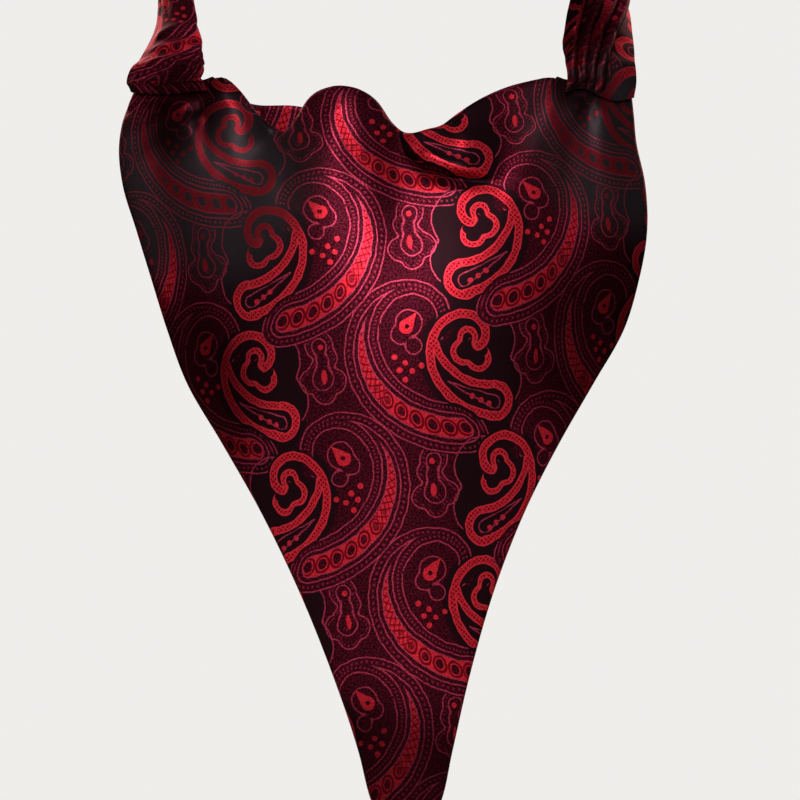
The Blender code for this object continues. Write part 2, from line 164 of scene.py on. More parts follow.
TURN_STEPS, ROLL_STEPS, FRONT_STEPS = 8, 10, 130
CREST_STEPS, HEM_STEPS, DOWN_STEPS, POINT_STEPS = 14, 4, 180, 12
WRAP_STEPS, UNDER_STEPS, BAND_STEPS = (64, 24), (72, 160), (128, 160)  # across and along
ABOVE, BELOW, LENGTH_STEPS = 67, 20, 700  # for the length of cloth, past the blade's sections
BAND_CROWDING = 1.4  # above 1, the band's rows lie closer together near its front end

# --- the walls ---

MM = 0.001
# The model's own wall, round the middle surface that each sheet shares with it. The sheets'
# thinner wall is a setting.
WALL = 1.6
SEAM = 0.3  # clearance between two pieces that are sewn or pressed together
STEP = WALL + SEAM  # from the middle of one wall to the middle of the next

# --- the front blade ---

# A section for each height, at the blade's sides. left and right are its outer faces, front is
# the depth of its middle, side is how much further back its sides lie, edge is the radius that
# each side rolls back with, and turn is the width turned back behind it.
Section = namedtuple("Section", "level left right front side edge turn")
SECTIONS = [Section(*row) for row in (
    (-27, -87.2, 85.4, -65.5, 35.0, 2.8, 6),
    (-36, -90.6, 86.2, -71.5, 36.5, 3.8, 9),
    (-45, -92.1, 86.9, -76.5, 38.0, 4.6, 12),
    (-60, -90.9, 89.8, -84.5, 40.0, 5.0, 15),
    (-78, -85.6, 90.3, -90.5, 40.0, 5.0, 18),
    (-95, -80.4, 87.3, -93.5, 38.5, 5.0, 20),
    (-112, -75.0, 82.0, -94.5, 36.0, 5.0, 22),
    (-130, -68.2, 71.7, -94.0, 31.5, 5.0, 23),
    (-150, -56.4, 60.1, -92.0, 25.0, 5.0, 23),
    (-172, -43.7, 48.8, -89.0, 17.5, 4.8, 20),
    (-198, -30.9, 38.4, -85.5, 11.0, 4.4, 16),
    (-228, -18.7, 29.6, -81.5, 6.0, 3.8, 11),
    (-256, -9.3, 23.2, -78.5, 3.4, 3.2, 6.5),
    (-272, -5.2, 19.6, -77.0, 2.4, 2.6, 4.0),
    (-281, -1.6, 15.8, -76.2, 1.6, 2.0, 2.2),
    (-289, 3.6, 10.6, -75.6, 0.8, 1.4, 0.6),
)]
TOP = SECTIONS[0].level
TIP = SECTIONS[-1].level
POINT_TOP = -272.0  # where the blade begins to close to its point
POINT_DROP = 4.5  # the middle of the last section hangs this much lower, as the point
POINT_LENGTH = 12.0  # over which the sections bend to it
BLUNT_END = 9.0  # the sides are drawn together over this height,
BLUNT_SHARE = 0.80  # by this share of a circle's rounding

# The crest, where the blade rolls over the tie: the height of its top face, and its radius.
Crest = namedtuple("Crest", "x top roll")
CREST = [Crest(*row) for row in (
    (-90, -27.6, 3.4), (-80, -25.6, 3.4), (-70, -24.6, 3.4), (-61, -26.4, 3.8),
    (-58.2, -24.2, 4.1), (-55, -25.2, 4.6), (-52.5, -27.1, 4.6), (-50, -29.7, 4.4),
    (-45, -36.2, 3.6), (-39, -42.0, 3.0), (-34, -43.8, 2.8), (-31, -40.8, 3.4),
    (-26, -32.8, 5.2), (-19, -28.8, 6.6), (-13, -28.6, 7.0), (-8, -30.1, 6.4),
    (-3, -33.7, 5.0), (2, -40.8, 3.6), (6, -44.2, 3.0), (15, -43.4, 4.4),
    (20, -41.8, 5.1), (24, -38.7, 5.8), (32, -33.2, 6.6), (42, -28.4, 6.6),
    (51, -25.9, 5.4), (54, -25.2, 4.9), (56, -24.6, 4.6), (58.2, -24.1, 4.2),
    (61, -26.4, 3.8), (68, -24.6, 3.4), (78, -25.4, 3.4), (88, -27.6, 3.4),
)]
CREST_LEAN = math.radians(35)  # of the front face below the crest, from upright
CREST_FADE = 88.0  # the crest's waves die out over this height
CREST_DROP = 22.0  # the cloth goes down behind the crest as far as this
CREST_ENDS = (54.0, 61.0)  # the roll opens out between these widths, under the neckband
CORNER_RISE = 2.5  # plain cloth above the first section, at the corners

ROW_CROWDING = 1.5  # above 1, the wall's rows lie closer together near the crest
COLUMN_CROWDING = 0.7  # below 1, its columns lie closer together in the middle

# Soft folds in the front, each along a path of (x, z): a ridge or, below 0, a trough. They sink
# by FOLD_SINK along their paths, and come in over FOLD_FADE below the neckband.
FOLD_SINK, FOLD_FADE = 0.75, 8.0
Fold = namedtuple("Fold", "path first_width last_width height")
FOLDS = [Fold(*row) for row in (
    (((-56, -30), (-46, -37), (-39, -46)), 5, 8, 3.0),  # the roll left of the notch
    (((-40, -46), (-48, -55), (-62, -64)), 5, 11, -3.2),  # the hollow below it
    (((-71, -92), (-63, -122), (-48, -156)), 9, 12, -4.2),  # the long trough on the left
    (((-13, -34), (-21, -58), (-26, -90)), 9, 20, 4.2),  # the puff below the hump
    (((2, -50), (6, -74), (10, -110)), 7, 16, -3.4),  # the hollow below the dip
    (((65, -33), (50, -56), (36, -92)), 3.4, 10, 3.2),  # gathers fan out on the right
    (((69, -33), (63, -62), (56, -100)), 3.4, 9, -3.2),
    (((74, -33), (76, -64), (71, -104)), 3.4, 9, 3.0),
    (((-71, -33), (-66, -58), (-56, -90)), 3.4, 9, 2.8),  # and on the left
    (((-77, -33), (-78, -60), (-73, -88)), 3.4, 8, -2.6),
    (((52, -122), (36, -160), (24, -204)), 9, 12, -3.0),  # the slack above the point
    (((-34, -150), (-16, -190), (0, -236)), 9, 10, -2.4),
    # Finer creases, which run off the neckband's ends, the notch and the tuck.
    (((60, -31), (52, -44), (46, -60)), 1.6, 4.5, 1.1),
    (((63, -31), (58, -46), (54, -66)), 1.5, 4.0, -1.2),
    (((67, -31), (66, -48), (64, -70)), 1.5, 4.5, 1.2),
    (((71, -31), (72, -46), (72, -72)), 1.4, 4.0, -1.0),
    (((77, -31), (80, -48), (82, -68)), 1.5, 4.0, 0.9),
    (((-64, -31), (-60, -42), (-54, -58)), 1.5, 4.0, -1.0),
    (((-68, -31), (-66, -44), (-61, -62)), 1.5, 4.2, 1.1),
    (((-74, -31), (-75, -46), (-72, -70)), 1.4, 4.0, 0.9),
    (((-82, -31), (-85, -46), (-84, -66)), 1.6, 4.5, -0.9),
    (((-92, -35), (-76, -36), (-58, -37)), 3.0, 2.6, -5.0),
    (((-60, -37), (-72, -45), (-86, -56)), 1.6, 3.0, 1.8),
    (((-66, -34), (-80, -41), (-91, -47)), 1.4, 2.4, 1.8),
    (((-33, -48), (-36, -60), (-44, -74)), 2.0, 5.0, 0.9),
    (((9, -47), (14, -51.5), (24, -53.5)), 1.6, 4.0, -1.2),
    (((20, -42), (27, -47), (38, -50)), 2.2, 5.0, 1.3),
    (((-14, -40), (-10, -58), (-12, -84)), 3.0, 6.0, -0.9),
    (((14, -52.5), (22, -55.6), (37, -58.2)), 1.3, 1.6, 1.8),
    (((8, -53), (14, -58.8), (24, -61.6), (38, -63)), 1.8, 2.4, -2.4),
)]
# A tuck's path has its raised side on the left as it runs: lip is how high it stands, soft is
# half the width of its face, and reach is how far the raised side takes to sink back. It runs
# out over TUCK_FADE of its path, towards TUCK_END.
TUCK_END, TUCK_FADE = 1.05, 0.4
Tuck = namedtuple("Tuck", "path lip soft reach")
TUCKS = (
    Tuck(((5, -40), (8, -51), (13, -56), (21, -58.5), (40, -60.5)), 10.5, 1.1, 30),
    Tuck(((-47, -34), (-40, -41), (-32, -49)), 5.0, 1.2, 16),
)

# --- behind the front blade ---

WRAP_HALF = 56.0  # half the width of the stretch across the throat
WRAP_FOOT = -74.0
WRAP_TOPS = ((-56, -31), (-45, -34.2), (-29, -35.2), (-12, -42), (6, -51), (30, -49), (56, -34))

Under = namedtuple("Under", "level half")
UNDER = [Under(*row) for row in (
    (-76, 50), (-95, 54), (-115, 54), (-135, 48), (-160, 39), (-190, 26), (-225, 16), (-256, 8.5),
    (-277, 2.4),
)]
UNDER_SETTLE = 52.0  # below its top it swings forward to the front blade over this height
UNDER_CLEAR = 1.6  # spare depth behind the turned-back sides, for their folds
UNDER_REST = 5.0  # and behind the middle, where nothing is turned back
UNDER_SWING = 16.0  # it swings back from the one depth to the other over this width

# --- the neckband ---

# From each front end to the centre back: the upper edge, against the neck, and the lower edge.
Stay = namedtuple("Stay", "upper lower")
LEFT_BAND = [Stay(*row) for row in (
    ((-62.6, -40, -17), (-85.0, -25, -19)),
    ((-64.9, -30, -6), (-81.0, -11, -10)),
    ((-67.2, -18, 6), (-78.6, 5, 0)),
    ((-66, 4, 23), (-77, 25, 8)),
    ((-54, 30, 43), (-66, 47, 14)),
    ((-28, 47, 57), (-36, 62, 18)),
    ((-0.15, 52, 62), (-0.15, 67, 19)),
)]
RIGHT_BAND = [Stay(*row) for row in (
    ((61.3, -39, -16), (86.0, -25, -18)),
    ((62.6, -29, -4), (85.6, -11, -8)),
    ((65.0, -17, 7), (84.8, 5, 1)),
    ((65.5, 5, 24), (80, 26, 9)),
    ((54, 30, 43), (67, 47, 14)),
    ((28, 47, 57), (36, 62, 18)),
    ((0.15, 52, 62), (0.15, 67, 19)),
)]
# The band's front ends lie on the blade's corners, between these widths and heights.
LEFT_LAP = (-60.8, -87.4)
RIGHT_LAP = (61.4, 85.4)
LAP_HEIGHTS = (-30.0, -27.5, -25.0)
LAP_LOOSE = 12.0  # the band swells and lifts off the corner over this length
BAND_CROWN = 2.8  # how far the band swells out between its edges
PLEATS = 4
PLEAT_GROWTH = 30.0  # a band that starts smooth gets its full pleats over this length
SMOOTH_ENDS = (32.0, 0.0)  # how far the left and the right band are smooth from the front
PLEAT_SHARES = (1.0, 0.55)  # the share of the band's width that the pleats take at its front
PLEAT_SPREAD = 60.0  # over this length they spread to the whole width
PLEAT_SHARPNESS, PLEAT_RISE = (4.0, 2.0), (1.9, 3.8)  # of the left and of the right band
PLEAT_PRESS = 0.4  # the share of their rise left where they are sewn to the blade
PLEAT_TUCK, PLEAT_GIVE = 8.0, 0.8  # cloth hidden in each valley, and the share left of the rest
# The band's front end is pressed flat: its wall thins to this share over so many rows, and its
# middle comes this close to the middle of the blade's wall, over the first part of its length.
THIN_SHARE, THIN_ROWS = 0.3, 14
PRESSED_STEP, PRESSED_LENGTH = 1.0, (2.4, 5.0)
# How much lower each band's end hangs than its first stay, from its inner to its outer edge.
END_SAG = ((0.3, 0.9, 1.3, 1.0, 0.2), (0.8, -0.6, 1.8, 3.4, 2.0))
SAG_LENGTH = 9.0
# Creases across each band near its front end: distance along it, height, width, lean, and the
# share of the band's width that they reach over, where they run out over CREASE_FADE of it.
CROSS_CREASES = (
    ((3.6, 3.6, 2.6, 0.0, 1.1), (8.5, 1.1, 1.2, 2.5, 0.95), (12.5, 1.0, 1.3, -2.0, 0.9),
     (17.0, 0.8, 1.6, 2.5, 0.95), (23.0, -0.8, 2.4, 2.0, 0.95), (30.0, 0.8, 2.6, -4.0, 0.95)),
    ((13.0, 0.6, 2.2, -4.0, 1.0), (21.0, -0.6, 2.6, 3.0, 1.0)),
)
CREASE_FADE = 0.3
# Fine gathers at the front end: the height on each band, how far along they rise to it, where
# they end and over which length, where they end across, how many radians there are of them
# across the band, and how they lean along it.
GATHERS = (0.25, 0.45)
GATHER_RISE, GATHER_END, GATHER_FADE, GATHER_SIDE = 2, 12, 6, 0.1
GATHER_TURNS, GATHER_LEAN = 30, 0.12
BACK_SEAM = 20.0  # both halves of the band come square to their seam over this length

# --- shapes ---


def smooth(xs, ys, at):
    """A smooth curve through the points xs, ys, where xs ascend, level beyond their ends."""
    xs, ys = np.asarray(xs, float), np.asarray(ys, float)
    slopes = np.gradient(ys, xs)
    at = np.clip(at, xs[0], xs[-1])
    i = np.clip(np.searchsorted(xs, at, side="right") - 1, 0, len(xs) - 2)
    gap = xs[i + 1] - xs[i]
    t = (at - xs[i]) / gap
    rise = ys[i + 1] - ys[i]
    bend_in = slopes[i] * gap - rise
    bend_out = rise - slopes[i + 1] * gap
    return ys[i] + rise * t + t * (1 - t) * (bend_in * (1 - t) + bend_out * t)


def column(rows, name, at):
    """One named column of a table, read smoothly at values of its first column."""
    keys = np.array([row[0] for row in rows], float)
    values = np.array([getattr(row, name) for row in rows], float)
    order = np.argsort(keys)
    return smooth(keys[order], values[order], at)


def ease(t):
    """0 below 0, 1 above 1, and smooth between them."""
    t = np.clip(t, 0, 1)
    return t * t * (3 - 2 * t)


def along_path(path, x, z):
    """(distance to the path, above 0 on its left; share of the path's length there)."""
    path = np.array(path, float)
    lengths = np.linalg.norm(np.diff(path, axis=0), axis=1)
    best = np.full(np.shape(x), np.inf)
    signed = np.zeros(np.shape(x))
    share = np.zeros(np.shape(x))
    done = 0.0
    for start, end, length in zip(path[:-1], path[1:], lengths):
        ux, uz = (end - start) / length
        run = np.clip((x - start[0]) * ux + (z - start[1]) * uz, 0, length)
        dx = x - start[0] - ux * run
        dz = z - start[1] - uz * run
        distance = np.hypot(dx, dz)
        nearer = distance < best
        best = np.where(nearer, distance, best)
        signed = np.where(nearer, np.copysign(distance, ux * dz - uz * dx), signed)
        share = np.where(nearer, (done + run) / lengths.sum(), share)
        done += length
    return signed, share


def relief(x, z):
    """How far the folds and tucks lift the front at (x, z), towards the front."""
    lift = np.zeros(np.shape(x))
    for fold in FOLDS:
        distance, share = along_path(fold.path, x, z)
        width = fold.first_width + (fold.last_width - fold.first_width) * share
        swell = 1 - FOLD_SINK * share
        lift += fold.height * swell * np.exp(-((distance / width) ** 2))
    for tuck in TUCKS:
        distance, share = along_path(tuck.path, x, z)
        face = 0.5 + 0.5 * np.tanh(distance / tuck.soft)
        sink = np.exp(-((np.maximum(distance, 0) / tuck.reach) ** 2))
        lift += tuck.lip * face * sink * ease((TUCK_END - share) / TUCK_FADE)
    return lift


def blade_middle(level):
    """(centre x, half width, depth of the middle, how far back the sides are) of a section."""
    left = column(SECTIONS, "left", level) + WALL / 2
    right = column(SECTIONS, "right", level) - WALL / 2
    front, side = column(SECTIONS, "front", level), column(SECTIONS, "side", level)
    return (left + right) / 2, (right - left) / 2, front, side


def blade_depth(x, level):
    """The depth of the blade's front, at the middle of its wall and without its folds."""
    centre, half, front, side = blade_middle(level)
    return front + side * ((x - centre) / half) ** 2


def blade_front(across, level, roll, turn, folded=True):
    """Points of the blade at or below its first section.

    across runs from -1 to 1 over the front, roll is the angle that a side has rolled back, and
    turn is the share of the turned-back width, where across is then -1 or 1. The print is laid
    out on the blade without its folds.
    """
    centre, half, front, side = blade_middle(level)
    edge = column(SECTIONS, "edge", level)
    slant = np.arctan2(2 * side, half)
    reach = half - edge * (1 - np.sin(slant))
    place = across * (1 - turn * column(SECTIONS, "turn", level) / reach)
    x = centre + place * reach
    y = front + side * place ** 2
    slope = 2 * side * place / reach
    run = np.hypot(1, slope)
    outward = np.sign(across)
    out = edge * np.sin(roll) * outward
    back = edge * (1 - np.cos(roll))
    wave = column(CREST, "top", x) - crest_rise(x) - TOP
    fade = np.clip(1 - (TOP - level) / CREST_FADE, 0, 1) ** 2
    point = ease((POINT_LENGTH + TIP - level) / POINT_LENGTH) * POINT_DROP
    z = level + wave * fade - point * (1 - np.abs(place))
    if folded:
        shown = np.cos(roll / 2) ** 2 * ease((LAP_HEIGHTS[0] - z) / FOLD_FADE + crest_share(x))
        y = y - relief(x, z) * shown
    return x + (out - back * slope) / run, y + (out * slope + back) / run, z


def crest_share(x):
    """1 where the crest is fully rolled, and 0 at the corners, where it is open."""
    inner, outer = CREST_ENDS
    return ease((outer - np.abs(x)) / (outer - inner))


def crest_rise(x):
    """From the blade's first section to the top face of the crest."""
    share = crest_share(x)
    rolled = column(CREST, "roll", x) * (1 - math.sin(CREST_LEAN)) + WALL / 2
    return rolled * share + CORNER_RISE * (1 - share)


def blade_crest(across, over, folded=True):
    """Points above the first section: over is 0 there, 1 at the end of the roll, 2 at the hem."""
    x, y, z = blade_front(across, TOP, 0.0, 0.0, folded)
    share = crest_share(x)
    radius = column(CREST, "roll", x) * share
    heading = CREST_LEAN + (math.pi - CREST_LEAN) * share * np.minimum(over, 1)
    hem = CORNER_RISE + (CREST_DROP - CORNER_RISE) * share ** 3
    straight = hem * np.maximum(over - 1, 0) + CORNER_RISE / 2 * (1 - share) * np.minimum(over, 1)
    y = y + radius * (math.cos(CREST_LEAN) - np.cos(heading)) + straight * np.sin(heading)
    z = z + radius * (np.sin(heading) - math.sin(CREST_LEAN)) + straight * np.cos(heading)
    return x, y, z


def back_of_crest(x):
    """The depth of the innermost cloth behind the crest, at the middle of its wall."""
    deepest = max(row.roll for row in CREST)
    return blade_depth(x, TOP) + deepest * (1 + math.cos(CREST_LEAN))


def under_depth(x, level):
    """The depth of the lower blade behind the front one, at the middle of its wall."""
    centre, half, _, side = blade_middle(level)
    edge = column(SECTIONS, "edge", level)
    slant = np.arctan2(2 * side, half)
    hem = half - column(SECTIONS, "turn", level) - 2 * edge
    aside = ease((np.abs(x - centre) - hem) / UNDER_SWING + 1)
    middle = STEP + UNDER_REST
    sides = (2 * edge + STEP) / np.cos(slant) + UNDER_CLEAR
    settled = ease((WRAP_FOOT - SEAM - level) / UNDER_SETTLE)
    near = blade_depth(x, level) + middle + np.maximum(sides - middle, 0) * aside
    return near * settled + (back_of_crest(x) + STEP) * (1 - settled)


# --- sheets of cloth ---


def spread(*values):
    """One point for each place of these values, which are spread out to the same grid."""
    return np.stack(np.broadcast_arrays(*values), axis=-1)


def lengths(points, axis):
    """The length along each row or column of a grid of points, from its first one."""
    steps = np.linalg.norm(np.diff(points, axis=axis), axis=-1)
    before = np.zeros_like(np.take(steps, [0], axis=axis))
    return np.concatenate([before, np.cumsum(steps, axis=axis)], axis=axis)


def length_down(level):
    """The length of cloth from the blade's first section down its middle to a level."""
    levels = np.linspace(TOP + ABOVE, TIP - BELOW, LENGTH_STEPS)
    depths = column(SECTIONS, "front", levels)
    down = lengths(spread(levels, depths), axis=0)
    down -= np.interp(-TOP, -levels, down)
    return np.interp(-np.asarray(level), -levels, down)


def choices():
    """The settings of the cravat in this scene."""
    return bpy.context.scene.cravat


def cloth(name, points, flat, material, turned=False, thin_rows=0):
    """A sheet through rows of points in millimetres.

    flat holds each point's place on the flat cloth, turned gives the sheet its other side out,
    and its wall thins out over thin_rows towards its first row.
    """
    rows, columns = points.shape[:2]
    bpy.ops.object.select_all(action="DESELECT")
    bpy.ops.mesh.primitive_grid_add(x_subdivisions=columns - 1, y_subdivisions=rows - 1)
    sheet = bpy.context.object
    mesh = sheet.data
    sheet.name = mesh.name = name
    mesh.vertices.foreach_set("co", (points * MM).ravel())
    corners = np.empty(len(mesh.loops), np.int32)
    mesh.loops.foreach_get("vertex_index", corners)
    mesh.uv_layers[0].name = "flat_cloth"
    mesh.uv_layers[0].data.foreach_set("uv", (flat * MM).reshape(-1, 2)[corners].ravel())
    if turned:
        mesh.flip_normals()
    mesh.materials.append(material)
    mesh.shade_smooth()
    mesh.update()
    shell = sheet.modifiers.new("Wall", "SOLIDIFY")
    shell.thickness = choices().cloth.wall
    shell.offset = 0
    shell.use_quality_normals = True
    if thin_rows:
        full = sheet.vertex_groups.new(name="full_wall")
        for row in range(rows):
            first = row * columns
            full.add(range(first, first + columns), min(row / thin_rows, 1), "REPLACE")
        shell.vertex_group = full.name
        shell.thickness_vertex_group = THIN_SHARE
    bpy.ops.object.modifier_apply(modifier=shell.name)
    return sheet


def blade_grid(folded):
    """The front blade's points, from the hem behind the crest down to its point."""
    turned = np.linspace(1, 0, TURN_STEPS + 1)[:-1]
    rolled = np.linspace(math.pi, 0, ROLL_STEPS + 1)[:-1]
    even = np.linspace(-1, 1, FRONT_STEPS + 1)
    ahead = even * (COLUMN_CROWDING + (1 - COLUMN_CROWDING) * even ** 2)
    side = TURN_STEPS + ROLL_STEPS
    across = np.concatenate([np.full(side, -1.0), ahead, np.full(side, 1.0)])
    turn = np.concatenate([turned, np.zeros(2 * ROLL_STEPS + len(ahead)), turned[::-1]])
    half_roll = np.concatenate([np.full(TURN_STEPS, math.pi), rolled])
    roll = np.concatenate([half_roll, np.zeros(len(ahead)), half_roll[::-1]])
    down = TOP + (POINT_TOP - TOP) * np.linspace(0, 1, DOWN_STEPS + 1) ** ROW_CROWDING
    levels = np.concatenate([down, np.linspace(POINT_TOP, TIP, POINT_STEPS + 1)[1:]])
    start = blade_front(across, TOP, roll, turn, folded)
    front = blade_front(across, TOP, 0.0, 0.0, folded)
    over = [*np.linspace(2, 1, HEM_STEPS + 1)[:-1], *np.linspace(1, 0, CREST_STEPS + 1)[:-1]]
    rows = []
    for share in over:
        crest = blade_crest(across, share, folded)
        rows.append(spread(*(a + b - c for a, b, c in zip(start, crest, front))))
    for level in levels:
        x, y, z = blade_front(across, level, roll, turn, folded)
        closing = max((TIP + BLUNT_END - level) / BLUNT_END, 0)
        shut = math.sqrt(1 - BLUNT_SHARE * closing ** 2)
        narrow = (1 + shut) / 2
        centre, _, depth, _ = blade_middle(level)
        rows.append(spread(centre + (x - centre) * narrow, depth + (y - depth) * shut,
                           level + (z - level) * narrow))
    return np.array(rows)


def blade_flat(points):
    """Where each point of the unfolded front blade lies on the flat cloth: (across, down)."""
    run = lengths(points[:, :, :2], axis=1)
    ahead = slice(TURN_STEPS + ROLL_STEPS, -TURN_STEPS - ROLL_STEPS)
    middle = np.array([np.interp(0.0, row[ahead, 0], length[ahead])
                       for row, length in zip(points, run)])
    across = run - middle[:, None]
    above = HEM_STEPS + CREST_STEPS
    down = length_down(points[:, :, 2])
    rolled = lengths(points[:above + 1], axis=0)
    down[:above + 1] = down[above] + rolled - rolled[-1]
    return spread(across, down)


def wrap_grid(columns, rows):
    """The stretch across the throat: flat behind the crest, from its upper edge to its foot."""
    tops = np.array(WRAP_TOPS, float)
    x = np.linspace(-WRAP_HALF, WRAP_HALF, columns + 1)[None, :]
    top = smooth(tops[:, 0], tops[:, 1], x)
    z = top + (WRAP_FOOT - top) * np.linspace(0, 1, rows + 1)[:, None]
    return spread(x, back_of_crest(x) + STEP, z)


def under_grid(columns, rows):
    """The lower blade's end, from the foot of the wrap to its own point."""
    level = np.linspace(WRAP_FOOT - SEAM, UNDER[-1].level, rows + 1)[:, None]
    half = column(UNDER, "half", level)
    x = blade_middle(level)[0] + half * np.linspace(-1, 1, columns + 1)[None, :]
    return spread(x, under_depth(x, level), level)


def pleat_crown(share, s, side):
    """(how far up its pleat a point of the band is, how many pleats lie inside it).

    side is 0 on the left and 1 on the right.
    """
    narrow = PLEAT_SHARES[side] + (1 - PLEAT_SHARES[side]) * ease(s / PLEAT_SPREAD)
    grown = 1.0 if SMOOTH_ENDS[side] == 0 else ease((s - SMOOTH_ENDS[side]) / PLEAT_GROWTH)
    turns = PLEATS * np.minimum(share / narrow, 1)
    return grown * (1 - np.abs(np.cos(math.pi * turns)) ** PLEAT_SHARPNESS[side]), turns * grown


def band_grid(lap, stays, columns, rows):
    """Half of the pleated band: (its points, each row's length along it, the cloth in its tucks).

    It has a row for each step along it, and its columns run across its pleats.
    """
    outward = math.copysign(1, lap[0])
    side = int(outward > 0)
    laps = len(LAP_HEIGHTS)
    upper, lower = (np.array([(x, blade_depth(x, z), z) for z in LAP_HEIGHTS] + list(edge), float)
                    for x, edge in zip(lap, zip(*stays)))
    middle = (upper + lower) / 2
    along = lengths(middle, axis=0)

    def curve(points, s):
        return spread(*(smooth(along, points[:, k], s) for k in range(3)))

    s = along[-1] * np.linspace(0, 1, rows + 1) ** BAND_CROWDING
    share = np.linspace(0, 1, columns + 1)
    high, low = curve(upper, s), curve(lower, s)
    ahead = curve(middle, np.minimum(s + 1, along[-1])) - curve(middle, np.maximum(s - 1, 0))
    normal = np.cross(low - high, ahead) * outward
    normal[:, 0] *= 1 - ease((s - along[-1]) / BACK_SEAM + 1)
    normal /= np.linalg.norm(normal, axis=1)[:, None]
    loose = ease((s - along[laps - 1]) / LAP_LOOSE)[:, None]
    point = high[:, None] + (low - high)[:, None] * share[None, :, None]
    swell = BAND_CROWN * np.sin(math.pi * share)[None, :] * loose
    crown, turns = pleat_crown(share[None, :], s[:, None], side)
    sag = smooth(np.linspace(0, 1, len(END_SAG[side])), END_SAG[side], share)[None, :]
    point[:, :, 2] -= sag * ease(1 - s / SAG_LENGTH)[:, None]
    x, z = point[:, :, 0], point[:, :, 2]
    seat = blade_depth(x, z) - relief(x, z) * ease((LAP_HEIGHTS[0] - z) / FOLD_FADE)
    point[:, :, 1] += (seat - point[:, :, 1]) * (1 - loose)
    flat = ease(s / PRESSED_LENGTH[side])[:, None]
    pressed = (PLEAT_PRESS + (1 - PLEAT_PRESS) * loose) * flat
    lift = (PRESSED_STEP + (STEP - PRESSED_STEP) * flat) * (1 - loose) + swell
    lift = lift + PLEAT_RISE[side] * crown * pressed
    across = share[None, :]
    for centre, height, width, lean, reach in CROSS_CREASES[side]:
        crease = np.exp(-(((s[:, None] - centre - lean * across) / width) ** 2))
        lift = lift + height * crease * flat * ease((reach - across) / CREASE_FADE)
    gathered = ease(s / GATHER_RISE) * ease((GATHER_END - s) / GATHER_FADE)
    gathered = gathered[:, None] * ease((PLEAT_SHARES[side] - across) / GATHER_SIDE)
    ripple = np.sin(GATHER_TURNS * across + GATHER_LEAN * s[:, None])
    lift = lift + GATHERS[side] * gathered * np.abs(ripple)
    hidden = (np.floor(turns + 0.5) - PLEATS) * PLEAT_TUCK
    points = point + normal[:, None] * lift[:, :, None]
    points[-1, :, 0] = 0.0  # both halves meet at the centre back
    return points, s, hidden


# --- the paisley ---


class Term:
    """A number or a colour that a material works out at each point: the output of a node."""

    def __init__(self, socket):
        self.socket = socket

    def __add__(self, other):
        return work("ADD", self, other)

    def __sub__(self, other):
        return work("SUBTRACT", self, other)

    def __rsub__(self, other):
        return work("SUBTRACT", other, self)

    def __abs__(self):
        return work("ABSOLUTE", self)

    def __neg__(self):
        return self * -1

    def __mul__(self, other):
        if self.socket.type == "VECTOR":
            return vector_work("SCALE", self, other)
        return work("MULTIPLY", self, other)

    __radd__ = __add__
    __rmul__ = __mul__


def fit(node, sockets):
    """Gives each named or numbered socket of a node its value, from a term by a link."""
    for name, value in dict(sockets).items():
        if isinstance(value, Term):
            node.id_data.links.new(value.socket, node.inputs[name])
        else:
            node.inputs[name].default_value = value


def added(tree, kind, sockets=(), **settings):
    """A new node, with these settings of its own and these values for its sockets."""
    node = tree.nodes.new("ShaderNode" + kind)
    for name, value in settings.items():
        setattr(node, name, value)
    fit(node, sockets)
    return node


def work(operation, *values):
    tree = next(value for value in values if isinstance(value, Term)).socket.id_data
    return Term(added(tree, "Math", enumerate(values), operation=operation).outputs[0])


def vector_work(operation, *values):
    sockets = (0, "Scale") if operation == "SCALE" else (0, 1, 2)
    tree = values[0].socket.id_data
    node = added(tree, "VectorMath", zip(sockets, values), operation=operation)
    number = operation in ("LENGTH", "DISTANCE", "DOT_PRODUCT")
    return Term(node.outputs["Value" if number else "Vector"])


def vector(x, y):
    return Term(added(x.socket.id_data, "CombineXYZ", {0: x, 1: y}).outputs[0])


def parts(point):
    node = added(point.socket.id_data, "SeparateXYZ", {0: point})
    return Term(node.outputs[0]), Term(node.outputs[1])


def most(*distances):
    """The largest value. Of distances from shapes, it is within all of them."""
    return reduce(partial(work, "MAXIMUM"), distances)


def least(*distances):
    """The smallest value. Of distances from shapes, it is within any of them."""
    return reduce(partial(work, "MINIMUM"), distances)


def length(a, b):
    return vector_work("LENGTH", vector(a, b))


def away(point, x, y, z=0):
    return vector_work("DISTANCE", point, (x, y, z))


def ramp(value, low, high, smoothly=False):
    """0 at low and 1 at high, and level beyond them."""
    node = added(value.socket.id_data, "MapRange",
                 {"Value": value, "From Min": low, "From Max": high},
                 interpolation_type="SMOOTHSTEP" if smoothly else "LINEAR")
    return Term(node.outputs["Result"])


def polynomial(t, factors):
    total = factors[-1]
    for factor in reversed(factors[:-1]):
        total = work("MULTIPLY_ADD", total, t, factor)
    return total


def beat(value, step):
    """How far a value lies from the middle of its step."""
    return (work("FRACT", value * (1 / step)) - 0.5) * step


def spiral(x, y, radii, slope, split):
    """Runs round a spiral: (share of its sweep, its radius there, distance off its middle line)."""
    reach = length(x, y)
    angle = work("ARCTAN2", y, x)
    again = work("LESS_THAN", angle, 0.0) * work("GREATER_THAN", reach, split)
    t = work("MULTIPLY_ADD", again, 2 * math.pi / SWEEP, angle * (1 / SWEEP))
    radius = polynomial(t, radii)
    return t, radius, (reach - radius) * slope


def hoop(point, centre, radius, half):
    """A ribbon round a circle, from its middle line and half its width."""
    return abs(away(point, *centre) - radius) - half


